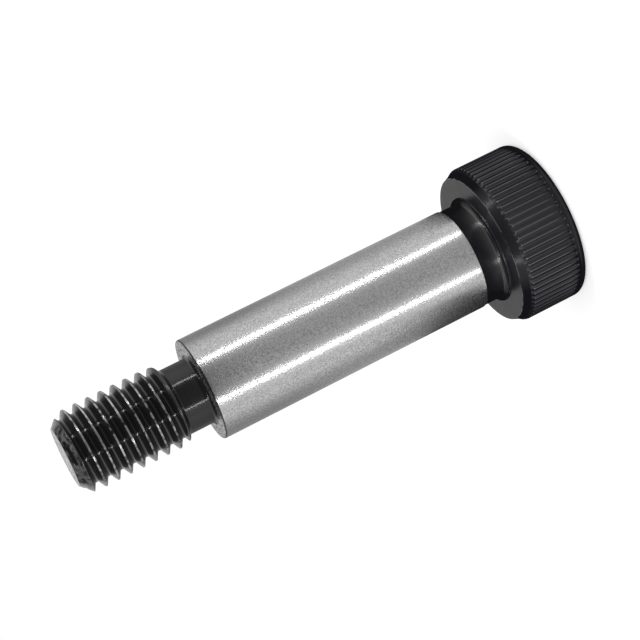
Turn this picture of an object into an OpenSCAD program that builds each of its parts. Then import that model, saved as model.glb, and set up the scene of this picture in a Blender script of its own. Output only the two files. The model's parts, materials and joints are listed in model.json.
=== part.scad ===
// A hardened shoulder bolt, standing on the flat top of its head with the thread up.
// The ground shoulder is a plain journal between a knurled socket head and a shorter, thinner thread.
// Everything is turned about Z, and lengths are measured upwards from the head's top face.

/* [Shoulder] */
// Diameter of the ground journal, a running fit in a 10 mm bore
shoulder_d = 9.97; // [8:0.01:13]
// Length from the bearing face under the head to the shoulder's end face
shoulder_len = 30; // [16:0.5:80]
// Unground neck between the bearing face and the ground journal
neck_len = 2.25; // [1.2:0.05:4]
// How far the neck lies below the ground surface
neck_drop = 0.09; // [0:0.01:0.3]
// Length of the lead-in on the shoulder's thread end
lead_len = 0.15; // [0.1:0.05:1]
// How much the lead-in takes off the shoulder's radius
lead_drop = 0.05; // [0.03:0.01:0.4]

/* [Head] */
// Diameter over the crests of the knurl
head_d = 15.8; // [13:0.01:24]
// Height of the head
head_h = 6.9; // [5.5:0.1:14]
// How far the bearing face's edge lies inside the knurl's crests
bearing_inset = 0.55; // [0.3:0.05:0.8]
// Height of the smooth band below the knurl
band_h = 0.75; // [0.3:0.05:1.5]
// Rounding of the edge of the head's top face
top_edge_r = 0.7; // [0.3:0.1:1.5]
// Number of knurl grooves
knurl_count = 74; // [40:1:120]
// Depth of a knurl groove
knurl_depth = 0.13; // [0.08:0.01:0.2]
// Width of the crest left between two grooves
knurl_crest = 0.09; // [0.05:0.01:0.2]
// Height above the top face at which the grooves end
knurl_end = 0.89; // [0.8:0.01:1.6]
// Fillet between the neck and the head
head_fillet_r = 0.45; // [0.2:0.05:0.6]
// Thickness of the thin ring that the fillet ends on
ring_h = 0.12; // [0.05:0.01:0.3]

/* [Socket] */
// Width of the hexagon across its flats
socket_af = 5; // [3:0.5:6]
// Depth of the full hexagon
socket_depth = 4.3; // [3:0.1:5]
// Point angle of the drilled bottom
drill_angle = 118; // [90:1:140]
// Chamfer around the socket's mouth
socket_chamfer = 0.35; // [0.1:0.05:0.6]

/* [Thread] */
// Major diameter of the thread
thread_d = 7.97; // [6:0.01:9.6]
// Pitch of the thread
thread_pitch = 1.25; // [0.8:0.05:1.5]
// Length from the shoulder's end face to the point
thread_end_len = 13.65; // [8:0.05:30]
// How far the relief next to the shoulder lies below the thread's root
relief_drop = 0.02; // [0.02:0.01:0.3]
// Length of the relief
relief_len = 2.6; // [2:0.05:4]
// Fillet where the relief meets the shoulder
relief_fillet_r = 0.3; // [0.1:0.05:0.6]
// Chamfer on the point, at 45 degrees
point_chamfer = 1.1; // [0.4:0.05:1.5]
// Bevel where the thread starts, along the axis
start_bevel = 0.3; // [0.1:0.05:0.6]
// Height of the first crest at the end of that bevel, as a share of the full height
start_share = 0.7; // [0.4:0.05:1]
// Where the thread groove starts, in degrees about the axis
thread_start_angle = 138; // [0:1:359]

/* [Hidden] */
$fn = 96;

oxide = [0.16, 0.16, 0.17];
ground_steel = [0.62, 0.62, 0.63];

// How far a cut reaches past the face that it opens, and how deep a fillet overlaps its walls
overcut = 1;
bond = 0.01;

shoulder_r = shoulder_d / 2;
neck_r = shoulder_r - neck_drop;
head_r = head_d / 2;
bearing_r = head_r - bearing_inset;
ring_r = neck_r + head_fillet_r;

// Thread: the basic form of a metric screw, 60 degrees between its flanks, with a rounded root
flank_angle = 30;
thread_r = thread_d / 2;
thread_height = thread_pitch / (2 * tan(flank_angle));
apex_depth = thread_height * 7 / 8;
root_round_r = thread_height / 5;
root_r = thread_r - apex_depth + root_round_r;
relief_r = root_r - relief_drop;

// Stations along the axis, from the head's top face upwards
journal_z = head_h + neck_len;
shoulder_end_z = head_h + shoulder_len;
thread_z = shoulder_end_z + relief_len;
point_z = shoulder_end_z + thread_end_len;

// Knurl: round-bottomed grooves side by side, each cut by a ball-ended bar that is centred outside the head
knurl_w = PI * head_d / knurl_count - knurl_crest;
knurl_cut_r = (knurl_w * knurl_w / 4 + knurl_depth * knurl_depth) / (2 * knurl_depth);
knurl_out = head_r - knurl_depth + knurl_cut_r;
knurl_ball_z = knurl_end + knurl_w / 2;
// Length over which the crests rise from the smooth band, and how far the band lies below the grooves
knurl_lead = 0.3;
band_clear = 0.11;
band_r = head_r - knurl_depth - band_clear;

// The thread's groove starts in the relief and ends past the point, so that both ends run out in the open
groove_before = 0.55 * thread_pitch;
groove_beyond = 0.75 * thread_pitch;
groove_overcut = 0.25;
steps_per_turn = 32;
groove_start_z = thread_z - groove_before;
groove_end_z = point_z + groove_beyond;
groove_steps = ceil((groove_end_z - groove_start_z) / thread_pitch * steps_per_turn);

// Half of a turned section: a rounded outside corner at [r, z], cut away below the arc
module corner_waste(r, z, round_r) {
    difference() {
        translate([r - round_r, z - overcut]) square(round_r + overcut);
        translate([r - round_r, z + round_r]) circle(round_r);
    }
}

// Half of a turned section: the concave fillet above a step, growing out from radius r at height z
module fillet_section(r, z, round_r) {
    difference() {
        translate([r - bond, z - bond]) square(round_r + bond);
        translate([r + round_r, z + round_r]) circle(round_r);
    }
}

// The cold-formed head before knurling, with its smooth band under the knurl
module head_blank() {
    band_z = head_h - band_h;
    rotate_extrude() difference() {
        polygon([
            [0, 0], [head_r, 0], [head_r, band_z - knurl_lead], [band_r, band_z],
            [bearing_r, head_h], [0, head_h]
        ]);
        corner_waste(head_r, 0, top_edge_r);
    }
}

// One knurl groove, open towards the bearing face and rounded at its other end
module knurl_groove() {
    translate([knurl_out, 0, knurl_ball_z]) {
        cylinder(r = knurl_cut_r, h = head_h - knurl_ball_z, $fn = 24);
        sphere(knurl_cut_r, $fn = 24);
    }
}

// Hexagon socket with a drilled point at its bottom, and a mouth countersunk at 45 degrees
module socket() {
    corner_r = socket_af / sqrt(3);
    drill_r = socket_af / 2;
    mouth_r = corner_r + socket_chamfer;
    translate([0, 0, -overcut]) cylinder(r = corner_r, h = socket_depth + overcut, $fn = 6);
    translate([0, 0, socket_depth])
        cylinder(r1 = drill_r, r2 = 0, h = drill_r / tan(drill_angle / 2));
    translate([0, 0, -overcut])
        cylinder(r1 = mouth_r + overcut, r2 = 0, h = mouth_r + overcut);
}

// Knurled head with its socket
module head() {
    color(oxide) difference() {
        head_blank();
        for (i = [0 : knurl_count - 1])
            rotate(i * 360 / knurl_count) knurl_groove();
        socket();
    }
}

// Unground neck, which flares onto a thin ring on the bearing face
module neck() {
    color(oxide) rotate_extrude() {
        translate([0, head_h]) square([neck_r, neck_len]);
        translate([0, head_h]) square([ring_r, ring_h]);
        fillet_section(neck_r, head_h + ring_h, head_fillet_r);
    }
}

// Ground journal with its lead-in
module journal() {
    color(ground_steel) rotate_extrude() polygon([
        [0, journal_z], [neck_r, journal_z], [shoulder_r, journal_z + neck_drop],
        [shoulder_r, shoulder_end_z - lead_len], [shoulder_r - lead_drop, shoulder_end_z],
        [0, shoulder_end_z]
    ]);
}

// The thread's blank: relief, bevelled start, full diameter and chamfered point
module thread_blank() {
    rotate_extrude() {
        polygon([
            [0, shoulder_end_z], [relief_r, shoulder_end_z], [relief_r, thread_z],
            [relief_r + (thread_r - relief_r) * start_share, thread_z + start_bevel],
            [thread_r, thread_z + thread_pitch],
            [thread_r, point_z - point_chamfer], [thread_r - point_chamfer, point_z], [0, point_z]
        ]);
        fillet_section(relief_r, shoulder_end_z, relief_fillet_r);
    }
}

// Section of the thread groove as [distance from the axis, height], with the root facing inwards
function groove_section() =
    let (half_mouth = (apex_depth + groove_overcut) * tan(flank_angle), end = 90 - flank_angle) [
    [thread_r + groove_overcut, -half_mouth],
    for (a = [-end : end : end]) [root_r + root_round_r * (1 - cos(a)), root_round_r * sin(a)],
    [thread_r + groove_overcut, half_mouth]
];

// One right-handed helical groove, a single closed solid swept around the axis
module thread_groove() {
    section = groove_section();
    n = len(section);
    points = [
        for (i = [0 : groove_steps])
            let (turn = i / steps_per_turn, a = 360 * turn + thread_start_angle)
                for (p = section)
                    [p[0] * cos(a), p[0] * sin(a), groove_start_z + thread_pitch * turn + p[1]]
    ];
    sides = [
        for (i = [0 : groove_steps - 1])
            for (k = [0 : n - 1])
                let (a = i * n + k, b = i * n + (k + 1) % n)
                    each [[a, a + n, b + n], [a, b + n, b]]
    ];
    start_cap = [for (k = [0 : n - 1]) k];
    end_cap = [for (k = [n - 1 : -1 : 0]) groove_steps * n + k];
    polyhedron(points, concat([start_cap, end_cap], sides));
}

// Threaded end
module threaded_end() {
    color(oxide) difference() {
        thread_blank();
        thread_groove();
    }
}

// The whole bolt is one piece of steel
module shoulder_bolt() {
    union() {
        head();
        neck();
        journal();
        threaded_end();
    }
}

shoulder_bolt();
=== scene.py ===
import json
import math
import bmesh
import bpy
from mathutils import Matrix, Vector, noise


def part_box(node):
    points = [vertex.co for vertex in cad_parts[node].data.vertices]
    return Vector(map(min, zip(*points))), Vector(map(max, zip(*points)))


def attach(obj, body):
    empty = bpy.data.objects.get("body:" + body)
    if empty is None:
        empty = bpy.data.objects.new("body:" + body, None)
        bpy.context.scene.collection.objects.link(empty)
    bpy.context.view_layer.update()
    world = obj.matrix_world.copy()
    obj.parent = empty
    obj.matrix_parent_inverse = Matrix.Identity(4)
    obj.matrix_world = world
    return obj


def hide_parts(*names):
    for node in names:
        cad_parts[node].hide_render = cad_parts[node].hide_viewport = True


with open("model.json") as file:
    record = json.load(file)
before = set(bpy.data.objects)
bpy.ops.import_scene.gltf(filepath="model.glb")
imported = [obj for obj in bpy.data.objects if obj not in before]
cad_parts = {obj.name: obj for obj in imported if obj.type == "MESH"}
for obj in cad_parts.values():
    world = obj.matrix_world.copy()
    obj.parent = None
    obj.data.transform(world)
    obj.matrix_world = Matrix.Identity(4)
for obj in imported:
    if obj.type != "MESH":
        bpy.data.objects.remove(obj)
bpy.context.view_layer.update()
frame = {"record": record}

# Knurled head. It is upset on the end of an alloy steel blank, turned, and rolled between
# knurling dies, which press round-bottomed grooves into its rim and leave thin crests between
# them. The bolt is one piece of steel from here to the point, so its whole skin is one mesh.
MM = 0.001
hair = 0.01 * MM
mounts = {mount["name"]: mount for mount in frame["record"]["mounts"]}
head_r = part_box("shoulder_bolt")[1][1]
top_edge_r = 0.7 * MM
top_rim_w = 2 * MM
bearing_z = mounts["bearing_face"]["pos_m"][2]
bearing_r = head_r - 0.55 * MM
bearing_rim_w = 0.5 * MM
band_r = head_r - 0.24 * MM
band_z = bearing_z - 0.75 * MM
knurl_foot_z = band_z - 0.3 * MM
knurl_count = 74
knurl_depth = 0.13 * MM
knurl_crest = 0.09 * MM
knurl_end_z = 0.89 * MM
crest_round = 0.012 * MM
crest_from = 0.84
crest_share = 0.16


def put(tree, kind, inputs=(), **settings):
    """Adds a shader node, sets its options and values, and links each input given as a socket."""
    made = tree.nodes.new(kind)
    for name, value in settings.items():
        setattr(made, name, value)
    for name, value in dict(inputs).items():
        if isinstance(value, bpy.types.NodeSocket):
            tree.links.new(value, made.inputs[name])
        else:
            made.inputs[name].default_value = value
    return made


def reckon(tree, operation, *values):
    """One step of arithmetic on plain values."""
    return put(tree, "ShaderNodeMath", enumerate(values), operation=operation).outputs[0]


def combined(tree, operation, first, second):
    """One step of arithmetic on two places, part by part."""
    return put(tree, "ShaderNodeVectorMath", {0: first, 1: second}, operation=operation).outputs[0]


def magnified(tree, place, by):
    """A place, times one value."""
    return put(tree, "ShaderNodeVectorMath", {0: place, "Scale": by}, operation="SCALE").outputs[0]


def distance(tree, place):
    """How far a place lies from the origin."""
    return put(tree, "ShaderNodeVectorMath", {0: place}, operation="LENGTH").outputs["Value"]


def ramp(tree, value, start, end, low=0.0, high=1.0, kind="LINEAR"):
    """A straight slope from low to high while the value goes from start to end."""
    limits = {"Value": value, "From Min": start, "From Max": end, "To Min": low, "To Max": high}
    return put(tree, "ShaderNodeMapRange", limits, interpolation_type=kind).outputs[0]


def between(tree, value, start, end, low=0.0, high=1.0):
    """A soft step from low to high while the value goes from start to end."""
    return ramp(tree, value, start, end, low, high, "SMOOTHSTEP")


def object_place(tree):
    """Where a point lies on the object."""
    return put(tree, "ShaderNodeTexCoord").outputs["Object"]


def turned_place(tree):
    """Where a point lies on the bolt, its distance from the axis and its height."""
    place = object_place(tree)
    level = combined(tree, "MULTIPLY", place, (1, 1, 0))
    return place, distance(tree, level), put(tree, "ShaderNodeSeparateXYZ", {0: place}).outputs["Z"]


def cloud(tree, place, detail):
    """A soft noise field with waves about one unit long."""
    return put(tree, "ShaderNodeTexNoise", {"Vector": place, "Scale": 1.0, "Detail": detail}).outputs["Fac"]


def patches(tree, place, size, cover, soft, detail):
    """Patches of one rough size, which take about the share of the surface that cover gives."""
    waves = reckon(tree, "DIVIDE", 1.0, size)
    field = cloud(tree, magnified(tree, place, waves), detail)
    least = reckon(tree, "SUBTRACT", 1.0, cover)
    return between(tree, field, least, reckon(tree, "ADD", least, soft))


def group(name, inputs, outputs):
    """Starts a node group and gives it with its input and output nodes."""
    made = bpy.data.node_groups.new(name, "ShaderNodeTree")
    for label, value in inputs.items():
        socket = made.interface.new_socket(label, in_out="INPUT", socket_type="NodeSocketFloat")
        socket.default_value = value
    for label in outputs:
        made.interface.new_socket(label, in_out="OUTPUT", socket_type="NodeSocketFloat")
    return made, made.nodes.new("NodeGroupInput").outputs, made.nodes.new("NodeGroupOutput").inputs


# Fine unevenness: a noise field measured on the object, drawn out around the axis.
grain, given, out = group("grain", {"Size": 0.2 * MM, "Round Stretch": 1.0, "Detail": 2.0}, ["Height"])
waves = reckon(grain, "DIVIDE", 1.0, given["Size"])
across = reckon(grain, "DIVIDE", waves, given["Round Stretch"])
stretch = put(grain, "ShaderNodeCombineXYZ", {"X": across, "Y": across, "Z": waves}).outputs[0]
place = combined(grain, "MULTIPLY", object_place(grain), stretch)
grain.links.new(cloud(grain, place, given["Detail"]), out["Height"])

# Turned marks: fine grooves round the axis, as the lathe leaves them on walls and end faces alike.
# They drift a little from place to place, so that they don't read as perfect circles.
drift_waves_per_m = 900.0
turned_marks, given, out = group("turned marks", {"Size": 0.06 * MM}, ["Height"])
place, radius, height = turned_place(turned_marks)
section = put(turned_marks, "ShaderNodeCombineXYZ", {"X": radius, "Y": height}).outputs[0]
section = magnified(turned_marks, section, reckon(turned_marks, "DIVIDE", 1.0, given["Size"]))
drift = magnified(turned_marks, place, drift_waves_per_m)
section = combined(turned_marks, "ADD", section, drift)
turned_marks.links.new(cloud(turned_marks, section, 2.0), out["Height"])

# Rubbed crests: the mask of bare, shiny places on whatever stands farthest from the axis. With a
# slope, they lie on a cone instead of a cylinder, and nothing is rubbed below the lowest height.
rubbed_rise = 1.2 * MM
rubbed, given, out = group("rubbed crests", {
    "Crest Radius": 4 * MM, "Slope": 0.0, "Fade": 0.05 * MM, "Patch Size": 0.5 * MM, "Cover": 0.5,
    "Soft": 0.15, "Lowest": -1.0,
}, ["Mask"])
place, radius, height = turned_place(rubbed)
radius = reckon(rubbed, "MULTIPLY_ADD", height, given["Slope"], radius)
fade_from = reckon(rubbed, "SUBTRACT", given["Crest Radius"], given["Fade"])
near = between(rubbed, radius, fade_from, given["Crest Radius"])
shown = patches(rubbed, place, given["Patch Size"], given["Cover"], given["Soft"], 3.0)
full_from = reckon(rubbed, "ADD", given["Lowest"], rubbed_rise)
raised = between(rubbed, height, given["Lowest"], full_from)
mask = reckon(rubbed, "MULTIPLY", reckon(rubbed, "MULTIPLY", near, shown), raised)
rubbed.links.new(mask, out["Mask"])

# Rubbed edge: the mask of a worn line along one turned edge, a circle about the axis.
edge_patch_soft = 0.2
rubbed_edge, given, out = group("rubbed edge", {
    "Edge Radius": 4 * MM, "Edge Height": 0.0, "Reach": 0.05 * MM, "Patch Size": 0.5 * MM, "Cover": 0.5,
}, ["Mask"])
place, radius, height = turned_place(rubbed_edge)
out_by = reckon(rubbed_edge, "SUBTRACT", radius, given["Edge Radius"])
up_by = reckon(rubbed_edge, "SUBTRACT", height, given["Edge Height"])
gap = distance(rubbed_edge, put(rubbed_edge, "ShaderNodeCombineXYZ", {"X": out_by, "Y": up_by}).outputs[0])
near = between(rubbed_edge, gap, given["Reach"], 0.0)
shown = patches(rubbed_edge, place, given["Patch Size"], given["Cover"], edge_patch_soft, 2.0)
rubbed_edge.links.new(reckon(rubbed_edge, "MULTIPLY", near, shown), out["Mask"])


def effect(tree, made, values):
    """Places a node group in a material with its own values."""
    return put(tree, "ShaderNodeGroup", values, node_tree=made).outputs[0]


def mixed_values(tree, mask, first, second):
    """Two plain values mixed by a mask. The mix node's sockets are told apart by number."""
    return put(tree, "ShaderNodeMix", {0: mask, 2: first, 3: second}).outputs[0]


def mixed_tones(tree, mask, first, second):
    """Two colours mixed by a mask."""
    return put(tree, "ShaderNodeMix", {0: mask, 6: first, 7: second}, data_type="RGBA").outputs[2]


def finish(name):
    """Starts a material and gives it with its node tree and its surface shader."""
    made = bpy.data.materials.new(name)
    made.use_nodes = True
    return made, made.node_tree, made.node_tree.nodes["Principled BSDF"]


def feed(tree, shader, **sockets):
    """Links or sets the surface shader's inputs, named with their spaces left out."""
    names = {socket.name.replace(" ", ""): socket for socket in shader.inputs}
    for name, value in sockets.items():
        if isinstance(value, bpy.types.NodeSocket):
            tree.links.new(value, names[name])
        else:
            names[name].default_value = value


def grey(level):
    """One plain grey."""
    return (level, level, level, 1)


# The bolt's finishes, in the order of its mesh's material slots.
bolt_finishes = []

oxide_patch = 0.9 * MM
oxide_grain = 0.08 * MM
oxide_grain_depth = 0.003 * MM
oxide_paler = 1.6
oxide_smoothest = 0.8
oxide_roughest = 1.3
lathe_feed = 0.07 * MM


def oxide(name, tone, rough, gloss, grazing, fades, uneven_by, turned_by, worn=()):
    """Black oxide on steel: almost black, satin, and rubbed to another tone in its worn places.

    Grazing is how much of the gloss is left where the surface is seen edge-on, and fades gives
    how far it has to turn away from the eye for the loss to start and to be complete. A worn
    place is the effect that masks it, that effect's values, and the tone, metal and rough there.
    """
    made, tree, shader = finish(name)
    uneven = effect(tree, grain, {"Size": oxide_patch, "Round Stretch": 1.0, "Detail": 4.0})
    fine = effect(tree, grain, {"Size": oxide_grain, "Round Stretch": 2.0, "Detail": 3.0})
    lathe = effect(tree, turned_marks, {"Size": lathe_feed})
    paler = [oxide_paler * part for part in tone[:3]] + [1]
    colour = mixed_tones(tree, uneven, tone, paler)
    dull = ramp(tree, uneven, 0.0, 1.0, low=rough * oxide_smoothest, high=rough * oxide_roughest)
    metal = 0.0
    for spot in worn:
        mask = effect(tree, spot["mask"], spot["values"])
        colour = mixed_tones(tree, mask, colour, spot["tone"])
        dull = mixed_values(tree, mask, dull, spot["rough"])
        metal = reckon(tree, "MULTIPLY_ADD", mask, spot["metal"], metal)
    height = reckon(tree, "MULTIPLY_ADD", lathe, turned_by, fine)
    bump = put(tree, "ShaderNodeBump", {
        "Height": height, "Strength": uneven_by, "Distance": oxide_grain_depth,
    }).outputs[0]
    facing = put(tree, "ShaderNodeLayerWeight", {"Blend": 0.5}).outputs["Facing"]
    shine = between(tree, facing, fades[0], fades[1], low=gloss, high=gloss * grazing)
    feed(tree, shader, BaseColor=colour, Metallic=metal, Roughness=dull, SpecularIORLevel=shine, Normal=bump)
    bolt_finishes.append(made)
    return made


rubbed_foot = {
    "mask": rubbed_edge,
    "values": {"Edge Radius": head_r, "Edge Height": knurl_foot_z, "Reach": 0.07 * MM,
               "Patch Size": 0.4 * MM, "Cover": 0.7},
    "tone": grey(0.3), "metal": 1.0, "rough": 0.3,
}
rubbed_knurl = {
    "mask": rubbed,
    "values": {"Crest Radius": head_r, "Fade": 0.025 * MM, "Patch Size": 0.6 * MM, "Cover": 0.8,
               "Lowest": 1.1 * MM},
    "tone": (0.14, 0.14, 0.145, 1), "metal": 1.0, "rough": 0.3,
}
rubbed_bearing_edge = {
    "mask": rubbed_edge,
    "values": {"Edge Radius": bearing_r, "Edge Height": bearing_z, "Reach": 0.06 * MM,
               "Patch Size": 1 * MM, "Cover": 0.62},
    "tone": grey(0.3), "metal": 1.0, "rough": 0.35,
}
head_black = oxide(
    "black oxide on the head", tone=(0.0095, 0.0095, 0.0125, 1), rough=0.3, gloss=0.45, grazing=0.0,
    fades=(0.18, 0.42), uneven_by=0.35, turned_by=0.0, worn=[rubbed_foot, rubbed_knurl],
)
band_black = oxide(
    "black oxide on the band", tone=(0.0065, 0.0065, 0.008, 1), rough=0.2, gloss=0.3, grazing=0.0,
    fades=(0.1, 0.3), uneven_by=0.35, turned_by=1.0, worn=[rubbed_bearing_edge],
)
face_black = oxide(
    "black oxide on the bearing face", tone=(0.0095, 0.0095, 0.0125, 1), rough=0.3, gloss=0.85, grazing=0.8,
    fades=(0.5, 0.88), uneven_by=0.35, turned_by=1.0, worn=[rubbed_bearing_edge],
)

skin = bmesh.new()


def ring(angles, radius, z):
    """Adds one closed ring of points, whose radius is a number or a function of the angle."""
    made = []
    for angle in angles:
        r = radius(angle) if callable(radius) else radius
        made.append(skin.verts.new((r * math.cos(angle), r * math.sin(angle), z)))
    return made


def face(corners, look):
    """Adds one smooth face in a finish, leaving out corners that fall together."""
    corners = list(dict.fromkeys(corners))
    if len(corners) > 2:
        made = skin.faces.new(corners)
        made.material_index = bolt_finishes.index(look)
        made.smooth = True


def wall(lower, upper, look):
    """Closes the wall between two rings, which may have different numbers of points."""
    n = len(lower)
    m = len(upper)
    if n == m:
        for i in range(n):
            face((lower[i], lower[(i + 1) % n], upper[(i + 1) % n], upper[i]), look)
        return
    i = j = 0
    while i < n or j < m:
        if j == m or (i < n and (i + 1) * m <= (j + 1) * n):
            face((lower[i % n], lower[(i + 1) % n], upper[j % m]), look)
            i += 1
        else:
            face((lower[i % n], upper[(j + 1) % m], upper[j % m]), look)
            j += 1


def turned(corners, steps):
    """Gives the points of a turned outline, each corner (radius, height, rounding) cut as an arc."""
    path = []
    for k, (r, z, rounding) in enumerate(corners):
        here = Vector((r, z))
        if rounding == 0:
            path.append(here)
            continue
        back = (Vector(corners[k - 1][:2]) - here).normalized()
        ahead = (Vector(corners[k + 1][:2]) - here).normalized()
        half = back.angle(ahead) / 2
        reach = rounding / math.tan(half)
        centre = here + (back + ahead).normalized() * rounding / math.sin(half)
        first = here + back * reach - centre
        sweep = (here + ahead * reach - centre).angle_signed(first)
        for s in range(steps + 1):
            path.append(centre + Matrix.Rotation(sweep * s / steps, 2) @ first)
    return path


# Each groove of the knurl has the shape of a round bar with a ball end, laid against the rim from
# outside. Points round the rim lie closest together where a groove's wall meets its crest.
knurl_pitch = math.tau / knurl_count
groove_w = math.tau * head_r / knurl_count - knurl_crest
groove_r = (groove_w ** 2 / 4 + knurl_depth ** 2) / (2 * knurl_depth)
groove_out = head_r - knurl_depth + groove_r
groove_end_z = knurl_end_z + groove_w / 2
groove_end_steps = 7
knurl_steps = (-0.93, -0.86, -0.72, -0.52, -0.28, 0, 0.28, 0.52, 0.72, 0.86, 0.93, 1)
rim_angles = [math.pi / knurl_count * (2 * i + step) for i in range(knurl_count) for step in knurl_steps]


def knurl_radius(angle, z):
    """Radius of the knurled rim: round-bottomed grooves with ball-shaped ends, and rounded crests."""
    across = abs((angle + knurl_pitch / 2) % knurl_pitch - knurl_pitch / 2)
    below_end = max(groove_end_z - z, 0)
    room = groove_r ** 2 - (groove_out * math.sin(across)) ** 2 - below_end ** 2
    if room <= 0:
        return head_r
    radius = min(head_r, groove_out * math.cos(across) - math.sqrt(room))
    to_crest = max(across / (knurl_pitch / 2) - crest_from, 0) / crest_share
    return radius - crest_round * (1 - to_crest) ** 2 if to_crest > 0 else radius


def rim_look(r, z):
    """The finish of the wall that ends at this point of the rim's outline."""
    if z > bearing_z - hair and r < bearing_r - 2 * hair:
        return face_black
    if z > band_z or knurl_end_z < z < groove_end_z:
        return band_black
    return head_black


rim_path = turned([
    (head_r - top_rim_w, 0, 0), (head_r, 0, top_edge_r), (head_r, knurl_end_z, 0),
], steps=10)
rim_path += [
    Vector((head_r, knurl_end_z + (groove_end_z - knurl_end_z) * s / groove_end_steps))
    for s in range(1, groove_end_steps + 1)
]
rim_path += turned([
    (head_r, knurl_foot_z - 0.3 * MM, 0), (head_r, knurl_foot_z, 0.15 * MM), (band_r, band_z, 0.1 * MM),
    (bearing_r, bearing_z, 0.05 * MM), (bearing_r - bearing_rim_w, bearing_z, 0),
], steps=6)
top_rim = ring(rim_angles, rim_path[0][0], rim_path[0][1])
below = top_rim
for r, z in rim_path[1:]:
    above = ring(rim_angles, lambda angle: min(r, knurl_radius(angle, z)), z)
    wall(below, above, rim_look(r, z))
    below = above

# Hexagon socket. It is punched into the head while the blank is headed: six flats, a drilled
# point below them and a countersunk mouth. It is blackened with the rest of the head.
flat_r = 2.5 * MM
socket_depth = 4.3 * MM
socket_chamfer = 0.35 * MM
mouth_r = flat_r * 2 / math.sqrt(3) + socket_chamfer
drill_r = flat_r * 0.985
drill_angle = math.radians(118)
drill_tip_z = socket_depth + flat_r / math.tan(drill_angle / 2)


def even(count):
    """Angles of evenly spaced points around the axis."""
    return [math.tau * i / count for i in range(count)]


def hexagon(angle):
    """Radius of the hexagon at an angle, with a corner on +X."""
    sixth = math.pi / 3
    return flat_r / math.cos((angle % sixth) - sixth / 2)


socket_angles = even(144)
drill_tip = skin.verts.new((0, 0, drill_tip_z))
drill_rim = ring(socket_angles, drill_r, socket_depth)
floor_rim = ring(socket_angles, hexagon, socket_depth)
flats_rim = [
    skin.verts.new((hexagon(a) * math.cos(a), hexagon(a) * math.sin(a), mouth_r - hexagon(a)))
    for a in socket_angles
]
mouth_rim = ring(socket_angles, mouth_r, 0)
for i, point in enumerate(drill_rim):
    face((drill_tip, drill_rim[(i + 1) % len(drill_rim)], point), head_black)
wall(drill_rim, floor_rim, head_black)
wall(floor_rim, flats_rim, head_black)
wall(flats_rim, mouth_rim, head_black)
wall(mouth_rim, top_rim, head_black)

# Neck. A short length under the head is left unground, so that the grinding wheel clears the
# head: it flares through a fillet onto a thin raised ring on the bearing face, and stays black.
shoulder_r = mounts["shoulder"]["dims"]["r_mm"] * MM
neck_drop = 0.09 * MM
neck_r = shoulder_r - neck_drop
neck_fillet_r = 0.45 * MM
ring_r = neck_r + neck_fillet_r
ring_z = bearing_z + 0.12 * MM
ring_edge_r = 0.03 * MM
journal_z = bearing_z + 2.25 * MM

rubbed_ring = {
    "mask": rubbed_edge,
    "values": {"Edge Radius": ring_r, "Edge Height": ring_z, "Reach": 0.035 * MM,
               "Patch Size": 0.8 * MM, "Cover": 0.6},
    "tone": grey(0.2), "metal": 1.0, "rough": 0.3,
}
neck_black = oxide(
    "black oxide on the neck", tone=(0.008, 0.008, 0.0095, 1), rough=0.2, gloss=1.0, grazing=0.0,
    fades=(0.25, 0.6), uneven_by=0.6, turned_by=3.0, worn=[rubbed_ring],
)

round_angles = even(240)
for r, z in turned([
    (ring_r + 0.4 * MM, bearing_z, 0), (ring_r, bearing_z, ring_edge_r), (ring_r, ring_z, ring_edge_r),
    (ring_r - hair, ring_z, 0), (neck_r, ring_z, neck_fillet_r - 2 * hair), (neck_r, journal_z, 0),
], steps=6):
    above = ring(round_angles, r, z)
    wall(below, above, neck_black if z > bearing_z else face_black)
    below = above

# Shoulder. This is the journal that a bushing or pulley turns on: ground after hardening, so
# the black is gone and bare steel shows, with fine marks around it. A thin line on the lead-in
# stays black, and its end face is turned and only thinly blackened.
shoulder_end_z = mounts["shoulder_end"]["pos_m"][2]
lead_len = 0.15 * MM
lead_r = shoulder_r - 0.05 * MM
black_line_len = 0.09 * MM
black_line_w = 0.04 * MM
relief_r = 3.2345 * MM
relief_fillet_r = 0.3 * MM
end_face_r = relief_r + relief_fillet_r

ground, tree, shader = finish("ground steel")
mottle = effect(tree, grain, {"Size": 0.13 * MM, "Round Stretch": 1.3, "Detail": 3.0})
marks = effect(tree, grain, {"Size": 0.05 * MM, "Round Stretch": 10.0, "Detail": 2.0})
tone = ramp(tree, mottle, 0.3, 0.7, low=0.38, high=0.72)
colour = put(tree, "ShaderNodeCombineColor", {0: tone, 1: tone, 2: tone}).outputs[0]
dull = ramp(tree, mottle, 0.35, 0.65, low=0.3, high=0.13)
bump = put(tree, "ShaderNodeBump", {
    "Height": reckon(tree, "ADD", mottle, marks), "Strength": 0.75, "Distance": 0.007 * MM,
}).outputs[0]
feed(tree, shader, BaseColor=colour, Metallic=1.0, Roughness=dull, SpecularTint=grey(0.75), Normal=bump)
bolt_finishes.append(ground)

end_face, tree, shader = finish("turned end face")
mottle = effect(tree, grain, {"Size": 0.3 * MM, "Round Stretch": 1.0, "Detail": 4.0})
lathe = effect(tree, turned_marks, {"Size": lathe_feed})
lathe_share = 0.15
both = reckon(tree, "MULTIPLY_ADD", lathe, lathe_share, mottle)
tone = ramp(tree, both, 0.45, 0.7, low=0.06, high=0.6)
colour = put(tree, "ShaderNodeCombineColor", {0: tone, 1: tone, 2: tone}).outputs[0]
bare = ramp(tree, both, 0.46, 0.62, low=0.1, high=1.0)
bump = put(tree, "ShaderNodeBump", {"Height": both, "Strength": 1.0, "Distance": 0.06 * MM}).outputs[0]
feed(tree, shader, BaseColor=colour, Metallic=bare, Roughness=0.24, SpecularIORLevel=0.1,
     SpecularTint=grey(0.9), Normal=bump)
bolt_finishes.append(end_face)

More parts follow.
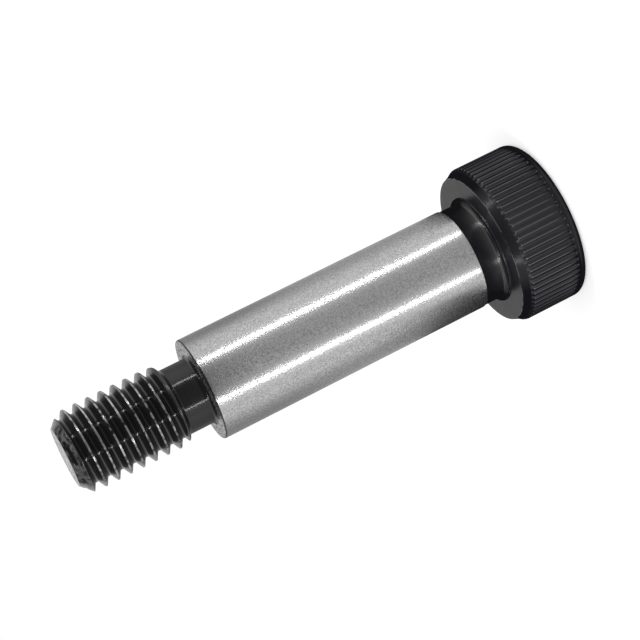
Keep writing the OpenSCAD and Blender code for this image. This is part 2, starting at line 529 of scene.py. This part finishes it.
# The black line on the lead-in has the same finish as the relief beyond it.
relief_black = oxide(
    "black oxide on the relief", tone=(0.0075, 0.0075, 0.0085, 1), rough=0.16, gloss=0.58, grazing=0.01,
    fades=(0.5, 0.88), uneven_by=0.2, turned_by=0.5,
)


def shoulder_look(r, z):
    """The finish of the wall that ends at this point of the shoulder's outline."""
    if z > shoulder_end_z - black_line_len and r > lead_r - black_line_w:
        return relief_black
    if z > shoulder_end_z - hair and r < lead_r - black_line_w:
        return end_face
    return ground


for r, z in turned([
    (neck_r + 0.005 * MM, journal_z + 0.005 * MM, 0), (shoulder_r, journal_z + neck_drop, 0.1 * MM),
    (shoulder_r, journal_z + 0.5 * MM, 0), (shoulder_r, shoulder_end_z - lead_len - 0.4 * MM, 0),
    (shoulder_r, shoulder_end_z - lead_len, 0.1 * MM), (lead_r, shoulder_end_z, 0.05 * MM),
    (lead_r - 0.3 * MM, shoulder_end_z, 0), (end_face_r, shoulder_end_z, 0),
], steps=4):
    above = ring(round_angles, r, z)
    wall(below, above, shoulder_look(r, z))
    below = above

# Threaded end. A relief next to the shoulder lets the rolling dies run out, then a right-hand
# thread is rolled: its flanks are pressed smooth, and its crests keep the rough seam where the
# metal of both sides met. The point is chamfered before rolling.
thread_r = mounts["thread"]["dims"]["r_mm"] * MM
pitch = 1.25 * MM
flank_slope = math.tan(math.radians(30))
root_round_r = pitch * math.sqrt(3) / 10
apex_r = thread_r - pitch * math.sqrt(3) / 2 * 7 / 8
root_r = apex_r + root_round_r
thread_z = shoulder_end_z + 2.6 * MM
start_bevel = 0.3 * MM
start_share = 0.7
point_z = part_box("shoulder_bolt")[1][2]
point_chamfer = 1.1 * MM
point_face_r = thread_r - point_chamfer
corner_blend = 0.02 * MM
groove_start_z = thread_z - 0.55 * pitch
groove_start_angle = math.radians(138)
crest_bevel_drop = 0.008 * MM
crest_bevel_w = 0.006 * MM
crest_edge_w = 0.03 * MM
crest_edge_seam = 0.2
seam_depth = 0.02 * MM
seam_span = 4 * MM
seam_waves = 5
seam_level = 0.3
seam_swing = 1.6
slot_angle = math.radians(273)
slot_reach = math.radians(23)
slot_above_groove = 0.9 * MM
slot_half_w = 0.12 * MM
slot_depth = 0.22 * MM
slot_steepness = 5

# The roots between the threads are smoother than the flanks, so the lamps show in them as dots.
thread_tone = grey(0.0075)
duller_flanks = {
    "mask": rubbed,
    "values": {"Crest Radius": root_r + 0.25 * MM, "Fade": 0.15 * MM, "Cover": 1.1, "Soft": 0.1},
    "tone": thread_tone, "metal": 0.0, "rough": 0.25,
}
rubbed_thread = {
    "mask": rubbed,
    "values": {"Crest Radius": thread_r, "Fade": 0.035 * MM, "Patch Size": 0.6 * MM, "Cover": 0.64,
               "Soft": 0.25},
    "tone": grey(0.55), "metal": 1.0, "rough": 0.25,
}
rubbed_chamfer = {
    "mask": rubbed,
    "values": {"Crest Radius": point_face_r + point_z, "Slope": 1.0, "Fade": 0.05 * MM,
               "Patch Size": 0.45 * MM, "Cover": 0.66, "Soft": 0.4},
    "tone": grey(0.22), "metal": 0.6, "rough": 0.4,
}
thread_black = oxide(
    "black oxide on the thread", tone=thread_tone, rough=0.06, gloss=0.7, grazing=0.6, fades=(0.5, 0.88),
    uneven_by=0.1, turned_by=0.0, worn=[duller_flanks, rubbed_thread, rubbed_chamfer],
)

relief_path = turned([
    (end_face_r, shoulder_end_z, 0), (relief_r, shoulder_end_z, relief_fillet_r),
    (relief_r, shoulder_end_z + 0.5 * MM, 0), (relief_r, thread_z - 0.1 * MM, 0),
], steps=8)
for r, z in relief_path[2:]:
    above = ring(round_angles, r, z)
    wall(below, above, relief_black)
    below = above
relief_end = ring(round_angles, relief_r, thread_z)
wall(below, relief_end, relief_black)


def blend_min(a, b, soft):
    """The lesser of two lengths, with the corner between them rounded off."""
    share = max(soft - abs(a - b), 0) / soft
    return min(a, b) - share * share * soft / 4


def thread_limit(z):
    """Radius of the blank that the thread is rolled on: bevelled start, full diameter, chamfer."""
    first = relief_r + (thread_r - relief_r) * start_share
    if z < thread_z + start_bevel:
        return relief_r + (first - relief_r) * (z - thread_z) / start_bevel
    if z < thread_z + pitch:
        return first + (thread_r - first) * (z - thread_z - start_bevel) / (pitch - start_bevel)
    return min(thread_r, point_face_r + point_z - z)


def slot(angle, z, row_u):
    """Depth of the short slot that the dies' next ridge bites into the point's chamfer."""
    to_end = 1 - abs(angle - slot_angle) / slot_reach
    if z < point_z - point_chamfer or to_end < 0 or abs(row_u - slot_above_groove) > slot_half_w:
        return 0
    return slot_depth * min(1, slot_steepness * to_end)


def thread_rows():
    """Section of one pitch, from root to root, as (radius, height above the groove, on crest)."""
    up = []
    for a in (0, 15, 30, 45, 60):
        rise = 1 - math.cos(math.radians(a))
        up.append((root_r + root_round_r * rise, root_round_r * math.sin(math.radians(a)), 0))
    flank_r = up[-1][0]
    for share in (0.3, 0.6, 0.85, 0.95):
        r = flank_r + (thread_r - flank_r) * share
        up.append((r, (r - apex_r) * flank_slope, 0))
    edge = (thread_r - apex_r) * flank_slope
    up.append((thread_r - crest_bevel_drop, edge + crest_bevel_w, 0))
    up.append((thread_r, edge + crest_edge_w, crest_edge_seam))
    down = [(r, pitch - u, crest) for r, u, crest in reversed(up[1:])]
    return up + [(thread_r, pitch / 2, 1)] + down


# One line of points for each row of the section in each turn, with a spare turn at both ends.
# Points below the thread's start or beyond the bolt's point fall together with the rings there.
rows = thread_rows()
spare_turns = 1
turns = math.ceil((point_z - thread_z) / pitch) + 2 * spare_turns
point_ring = ring(round_angles, point_face_r, point_z)
lines = []
for turn in range(turns):
    for row_r, row_u, crest in rows:
        line = []
        for k, angle in enumerate(round_angles):
            turned_by = turn - spare_turns + (angle - groove_start_angle) / math.tau
            z = groove_start_z + pitch * turned_by + row_u
            if z <= thread_z:
                line.append(relief_end[k])
                continue
            if z >= point_z:
                line.append(point_ring[k])
                continue
            spot = Vector((math.cos(angle), math.sin(angle), z / seam_span)) * seam_waves
            seam = seam_depth * crest * max(0, seam_level + seam_swing * noise.noise(spot))
            r = blend_min(row_r - seam, thread_limit(z), corner_blend) - slot(angle, z, row_u)
            line.append(skin.verts.new((r * math.cos(angle), r * math.sin(angle), z)))
        lines.append(line)

# After a whole turn, each line goes on in the line of the same row one turn later.
last_line = len(lines) - 1
last_angle = len(round_angles) - 1
for m in range(last_line):
    for k in range(last_angle):
        face((lines[m][k], lines[m][k + 1], lines[m + 1][k + 1], lines[m + 1][k]), thread_black)
    later = lines[min(m + len(rows), last_line)][0]
    later_above = lines[min(m + 1 + len(rows), last_line)][0]
    face((lines[m][last_angle], later, later_above, lines[m + 1][last_angle]), thread_black)

below = point_ring
for r in (point_face_r - 0.06 * MM, point_face_r - 0.3 * MM, 1 * MM):
    above = ring(round_angles, r, point_z)
    wall(below, above, end_face)
    below = above
middle = skin.verts.new((0, 0, point_z))
for i, point in enumerate(below):
    face((point, below[(i + 1) % len(below)], middle), end_face)

# Whole bolt. The skin is closed from the socket to the point, so it becomes one solid piece of
# steel. It stands in the CAD's frame on the flat top of its head, and nothing is fixed to it.
skin_mesh = bpy.data.meshes.new("shoulder_bolt_body")
skin.to_mesh(skin_mesh)
skin.free()
for made in bolt_finishes:
    skin_mesh.materials.append(made)
bolt = bpy.data.objects.new("shoulder_bolt_body", skin_mesh)
bpy.context.collection.objects.link(bolt)
bolt.modifiers.new("flat faces stay flat", "WEIGHTED_NORMAL").keep_sharp = True
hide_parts("shoulder_bolt")
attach(bolt, "root")

# Studio. A plain white floor and backdrop, two tall strip lamps beside the camera with a foot
# each on the table, and cards that show in the metal as the darker bands between the lamps'
# streaks. Nothing is fixed to the bolt, and no card shows in the picture itself.
floor_half = 3.0
floor_z = -0.01 * MM
paper_glow = 0.5
world_light = 0.7


def times(tree, *values):
    """The product of several values."""
    made = values[0]
    for value in values[1:]:
        made = reckon(tree, "MULTIPLY", made, value)
    return made


def staged(name, points, faces, material):
    """Adds a plain surface of the studio."""
    mesh = bpy.data.meshes.new(name)
    mesh.from_pydata(points, [], faces)
    mesh.materials.append(material)
    made = bpy.data.objects.new(name, mesh)
    bpy.context.collection.objects.link(made)
    return made


def seen_directly(tree):
    """1 for rays that come straight from the camera or by way of a reflection or glass, else 0."""
    rays = put(tree, "ShaderNodeLightPath").outputs
    first = reckon(tree, "MAXIMUM", rays["Is Camera Ray"], rays["Is Glossy Ray"])
    return reckon(tree, "MAXIMUM", first, rays["Is Transmission Ray"])


paper, tree, shader = finish("white paper")
feed(tree, shader, BaseColor=grey(0.8), Roughness=1.0, SpecularIORLevel=0.0, EmissionColor=grey(1),
     EmissionStrength=times(tree, seen_directly(tree), paper_glow))
staged("floor", [
    (-floor_half, -floor_half, floor_z), (floor_half, -floor_half, floor_z),
    (floor_half, floor_half, floor_z), (-floor_half, floor_half, floor_z),
], [(0, 1, 2, 3)], paper)

world = bpy.data.worlds.new("studio")
world.use_nodes = True
bpy.context.scene.world = world
tree = world.node_tree
backdrop = tree.nodes["Background"]
backdrop.inputs["Color"].default_value = grey(1)
strength = ramp(tree, seen_directly(tree), 0.0, 1.0, low=world_light)
tree.links.new(strength, backdrop.inputs["Strength"])

# The tone of the cards around the bolt, by compass angle from the camera's side towards -X.
tones_by_compass = [
    (-180, 0.62), (-168, 0.64), (-156, 0.7), (-132, 0.52), (-110, 0.56), (-84, 0.82), (-64, 0.82),
    (-36, 0.5), (-24, 0.455), (0, 0.43), (20, 0.55), (48, 0.85), (60, 0.74), (72, 0.84), (84, 0.7),
    (100, 0.5), (120, 0.48), (144, 0.6), (156, 0.66), (168, 0.6), (180, 0.62),
]
tone_around, _, out = group("tone around", {}, ["Share", "Tone"])
place = put(tone_around, "ShaderNodeSeparateXYZ", {0: object_place(tone_around)}).outputs
left = reckon(tone_around, "MULTIPLY", place["X"], -1.0)
near = reckon(tone_around, "MULTIPLY", place["Y"], -1.0)
share = ramp(tone_around, reckon(tone_around, "ARCTAN2", left, near), -math.pi, math.pi)
stops = put(tone_around, "ShaderNodeValToRGB", {0: share})
while len(stops.color_ramp.elements) < len(tones_by_compass):
    stops.color_ramp.elements.new(1.0)
for stop, (compass, level) in zip(stops.color_ramp.elements, tones_by_compass):
    stop.position = (compass + 180) / 360
    stop.color = grey(level)
tone_around.links.new(share, out["Share"])
tone_around.links.new(stops.outputs["Color"], out["Tone"])


def lit_card(name):
    """Starts the finish of a card that shines evenly, whatever light falls on it."""
    made, tree, shader = finish(name)
    feed(tree, shader, BaseColor=grey(0), Roughness=1.0, SpecularIORLevel=0.0)
    return made, tree, shader


def plain_card(name, level):
    """A card of one plain grey."""
    made, tree, shader = lit_card(name)
    feed(tree, shader, EmissionColor=grey(level), EmissionStrength=1.0)
    return made


def turned_away(tree, share):
    """How far a compass share lies from the camera's side: 0 towards it, 1 behind the bolt."""
    off = reckon(tree, "ABSOLUTE", reckon(tree, "SUBTRACT", share, 0.5))
    return reckon(tree, "MULTIPLY", off, 2.0)


def dimmed(tree, mask, least):
    """Full light where the mask is 0, down to the least light where it is 1."""
    return between(tree, mask, start=0.0, end=1.0, low=1.0, high=least)


# The card around the bolt is a little darker behind it, except close to the table.
ring_card, tree, shader = lit_card("ring card")
around = put(tree, "ShaderNodeGroup", node_tree=tone_around)
height = put(tree, "ShaderNodeSeparateXYZ", {0: object_place(tree)}).outputs["Z"]
behind = between(tree, turned_away(tree, around.outputs["Share"]), start=0.5, end=0.72)
raised = between(tree, height, start=0.01, end=0.024)
glow = times(tree, around.outputs["Tone"], dimmed(tree, times(tree, behind, raised), least=0.72))
feed(tree, shader, EmissionColor=grey(1), EmissionStrength=glow)

# The card on the table has two dark places of painted shade, which stand in for the head's shadow
# on the table: one behind the bolt, close to its head, and one farther out towards -X, which makes
# the dark patch on the shoulder near the head.
floor_card, tree, shader = lit_card("floor card with painted shade")
around = put(tree, "ShaderNodeGroup", node_tree=tone_around)
share = around.outputs["Share"]
away = distance(tree, object_place(tree))
# Painted shade of the head's shadow: behind the bolt and close to its head.
behind = between(tree, turned_away(tree, share), start=0.42, end=0.5)
painted_shade_near_head = times(tree, behind, between(tree, away, start=0.035, end=0.032))
# Painted shade of the head's shadow farther out towards -X, between two compass shares and two distances.
first_side = between(tree, share, start=0.65, end=0.71)
last_side = between(tree, share, start=1.0, end=0.965)
inner_side = between(tree, away, start=0.028, end=0.033)
outer_side = between(tree, away, start=0.062, end=0.052)
painted_shade_farther_out = times(tree, first_side, last_side, inner_side, outer_side)
# The card's glow, cut down by both places of painted shade.
glow = times(tree, around.outputs["Tone"], dimmed(tree, painted_shade_near_head, least=0.08),
             dimmed(tree, painted_shade_farther_out, least=0.12))
feed(tree, shader, EmissionColor=grey(1), EmissionStrength=glow)


def only_in_reflections(made):
    """Keeps a card out of the picture and out of the lamps' way."""
    made.visible_camera = False
    made.visible_diffuse = False
    made.visible_shadow = False
    made.visible_transmission = False


def upright_card(name, first, last, radius, low, top, material):
    """A card bent around the bolt, between two compass angles from the camera's side towards -X."""
    steps = 48
    points = []
    for s in range(steps + 1):
        angle = math.radians(first + (last - first) * s / steps)
        for z in (low, top):
            points.append((-radius * math.sin(angle), -radius * math.cos(angle), z))
    faces = [(2 * s, 2 * s + 2, 2 * s + 3, 2 * s + 1) for s in range(steps)]
    only_in_reflections(staged(name, points, faces, material))


upright_card("card_ring", first=-180, last=180, radius=0.05, low=0.007, top=0.045, material=ring_card)
upright_card("card_front", first=-60, last=42, radius=0.0495, low=0.0295, top=0.11,
             material=plain_card("black card", 0.05))
card_points = 48
card_floor_r = 0.08
card_floor_z = 0.2 * MM
card_roof_r = 0.15
card_roof_z = 0.13
collar = [
    (r * math.cos(a), r * math.sin(a), card_floor_z)
    for r in (head_r, card_floor_r) for a in even(card_points)
]
only_in_reflections(staged("card_floor", collar, [
    (k, card_points + k, card_points + (k + 1) % card_points, (k + 1) % card_points)
    for k in range(card_points)
], floor_card))
roof = [(card_roof_r * math.cos(a), card_roof_r * math.sin(a), card_roof_z) for a in even(card_points)]
only_in_reflections(staged("card_roof", roof, [tuple(range(card_points))], plain_card("dark card", 0.12)))

strip_w = 1.2 * MM
strip_len = 0.15
strip_reach = 0.042
strip_z = 0.077
foot_len = 0.013
foot_reach = 0.0355
foot_z = 0.0006


def strip_lamp(name, angle, watts):
    """A tall soft lamp beside the camera, at a compass angle from the camera's side towards -X.

    Its foot lies on the table towards the bolt, so that its streak runs on down to the head.
    """
    angle = math.radians(angle)
    away = Vector((-math.sin(angle), -math.cos(angle), 0))
    tall = away.to_track_quat("Z", "Y").to_matrix()
    lying = Matrix((away.cross(Vector((0, 0, 1))), away, Vector((0, 0, -1)))).transposed()
    for part, length, reach, height, turn in (
        ("_tall", strip_len, strip_reach, strip_z, tall), ("_foot", foot_len, foot_reach, foot_z, lying),
    ):
        lamp = bpy.data.lights.new(name + part, "AREA")
        lamp.shape = "RECTANGLE"
        lamp.size = strip_w
        lamp.size_y = length
        lamp.energy = watts * length / strip_len
        made = bpy.data.objects.new(name + part, lamp)
        bpy.context.collection.objects.link(made)
        made.location = away * reach + Vector((0, 0, height))
        made.rotation_euler = turn.to_euler()
        made.visible_camera = False


strip_lamp("strip_right", angle=-50.5, watts=0.0105)
strip_lamp("strip_left", angle=36.5, watts=0.0105)

# Camera. It looks down a little on the upright bolt and is rolled well over on its side, so
# that the bolt lies aslant in the picture as it does in the photograph.
look_down = math.radians(13.337)
roll = math.radians(-116.545)
camera_place = (0.8134 * MM, -165.2835 * MM, 63.1408 * MM)
camera = bpy.data.objects.new("camera", bpy.data.cameras.new("camera"))
bpy.context.collection.objects.link(camera)
camera.data.lens = 103.132
camera.data.sensor_width = 36
camera.data.clip_start = 0.005
camera.matrix_world = (
    Matrix.Translation(camera_place)
    @ Matrix.Rotation(math.pi / 2 - look_down, 4, "X") @ Matrix.Rotation(roll, 4, "Z")
)
bpy.context.scene.camera = camera
bpy.context.scene.view_settings.view_transform = "Standard"
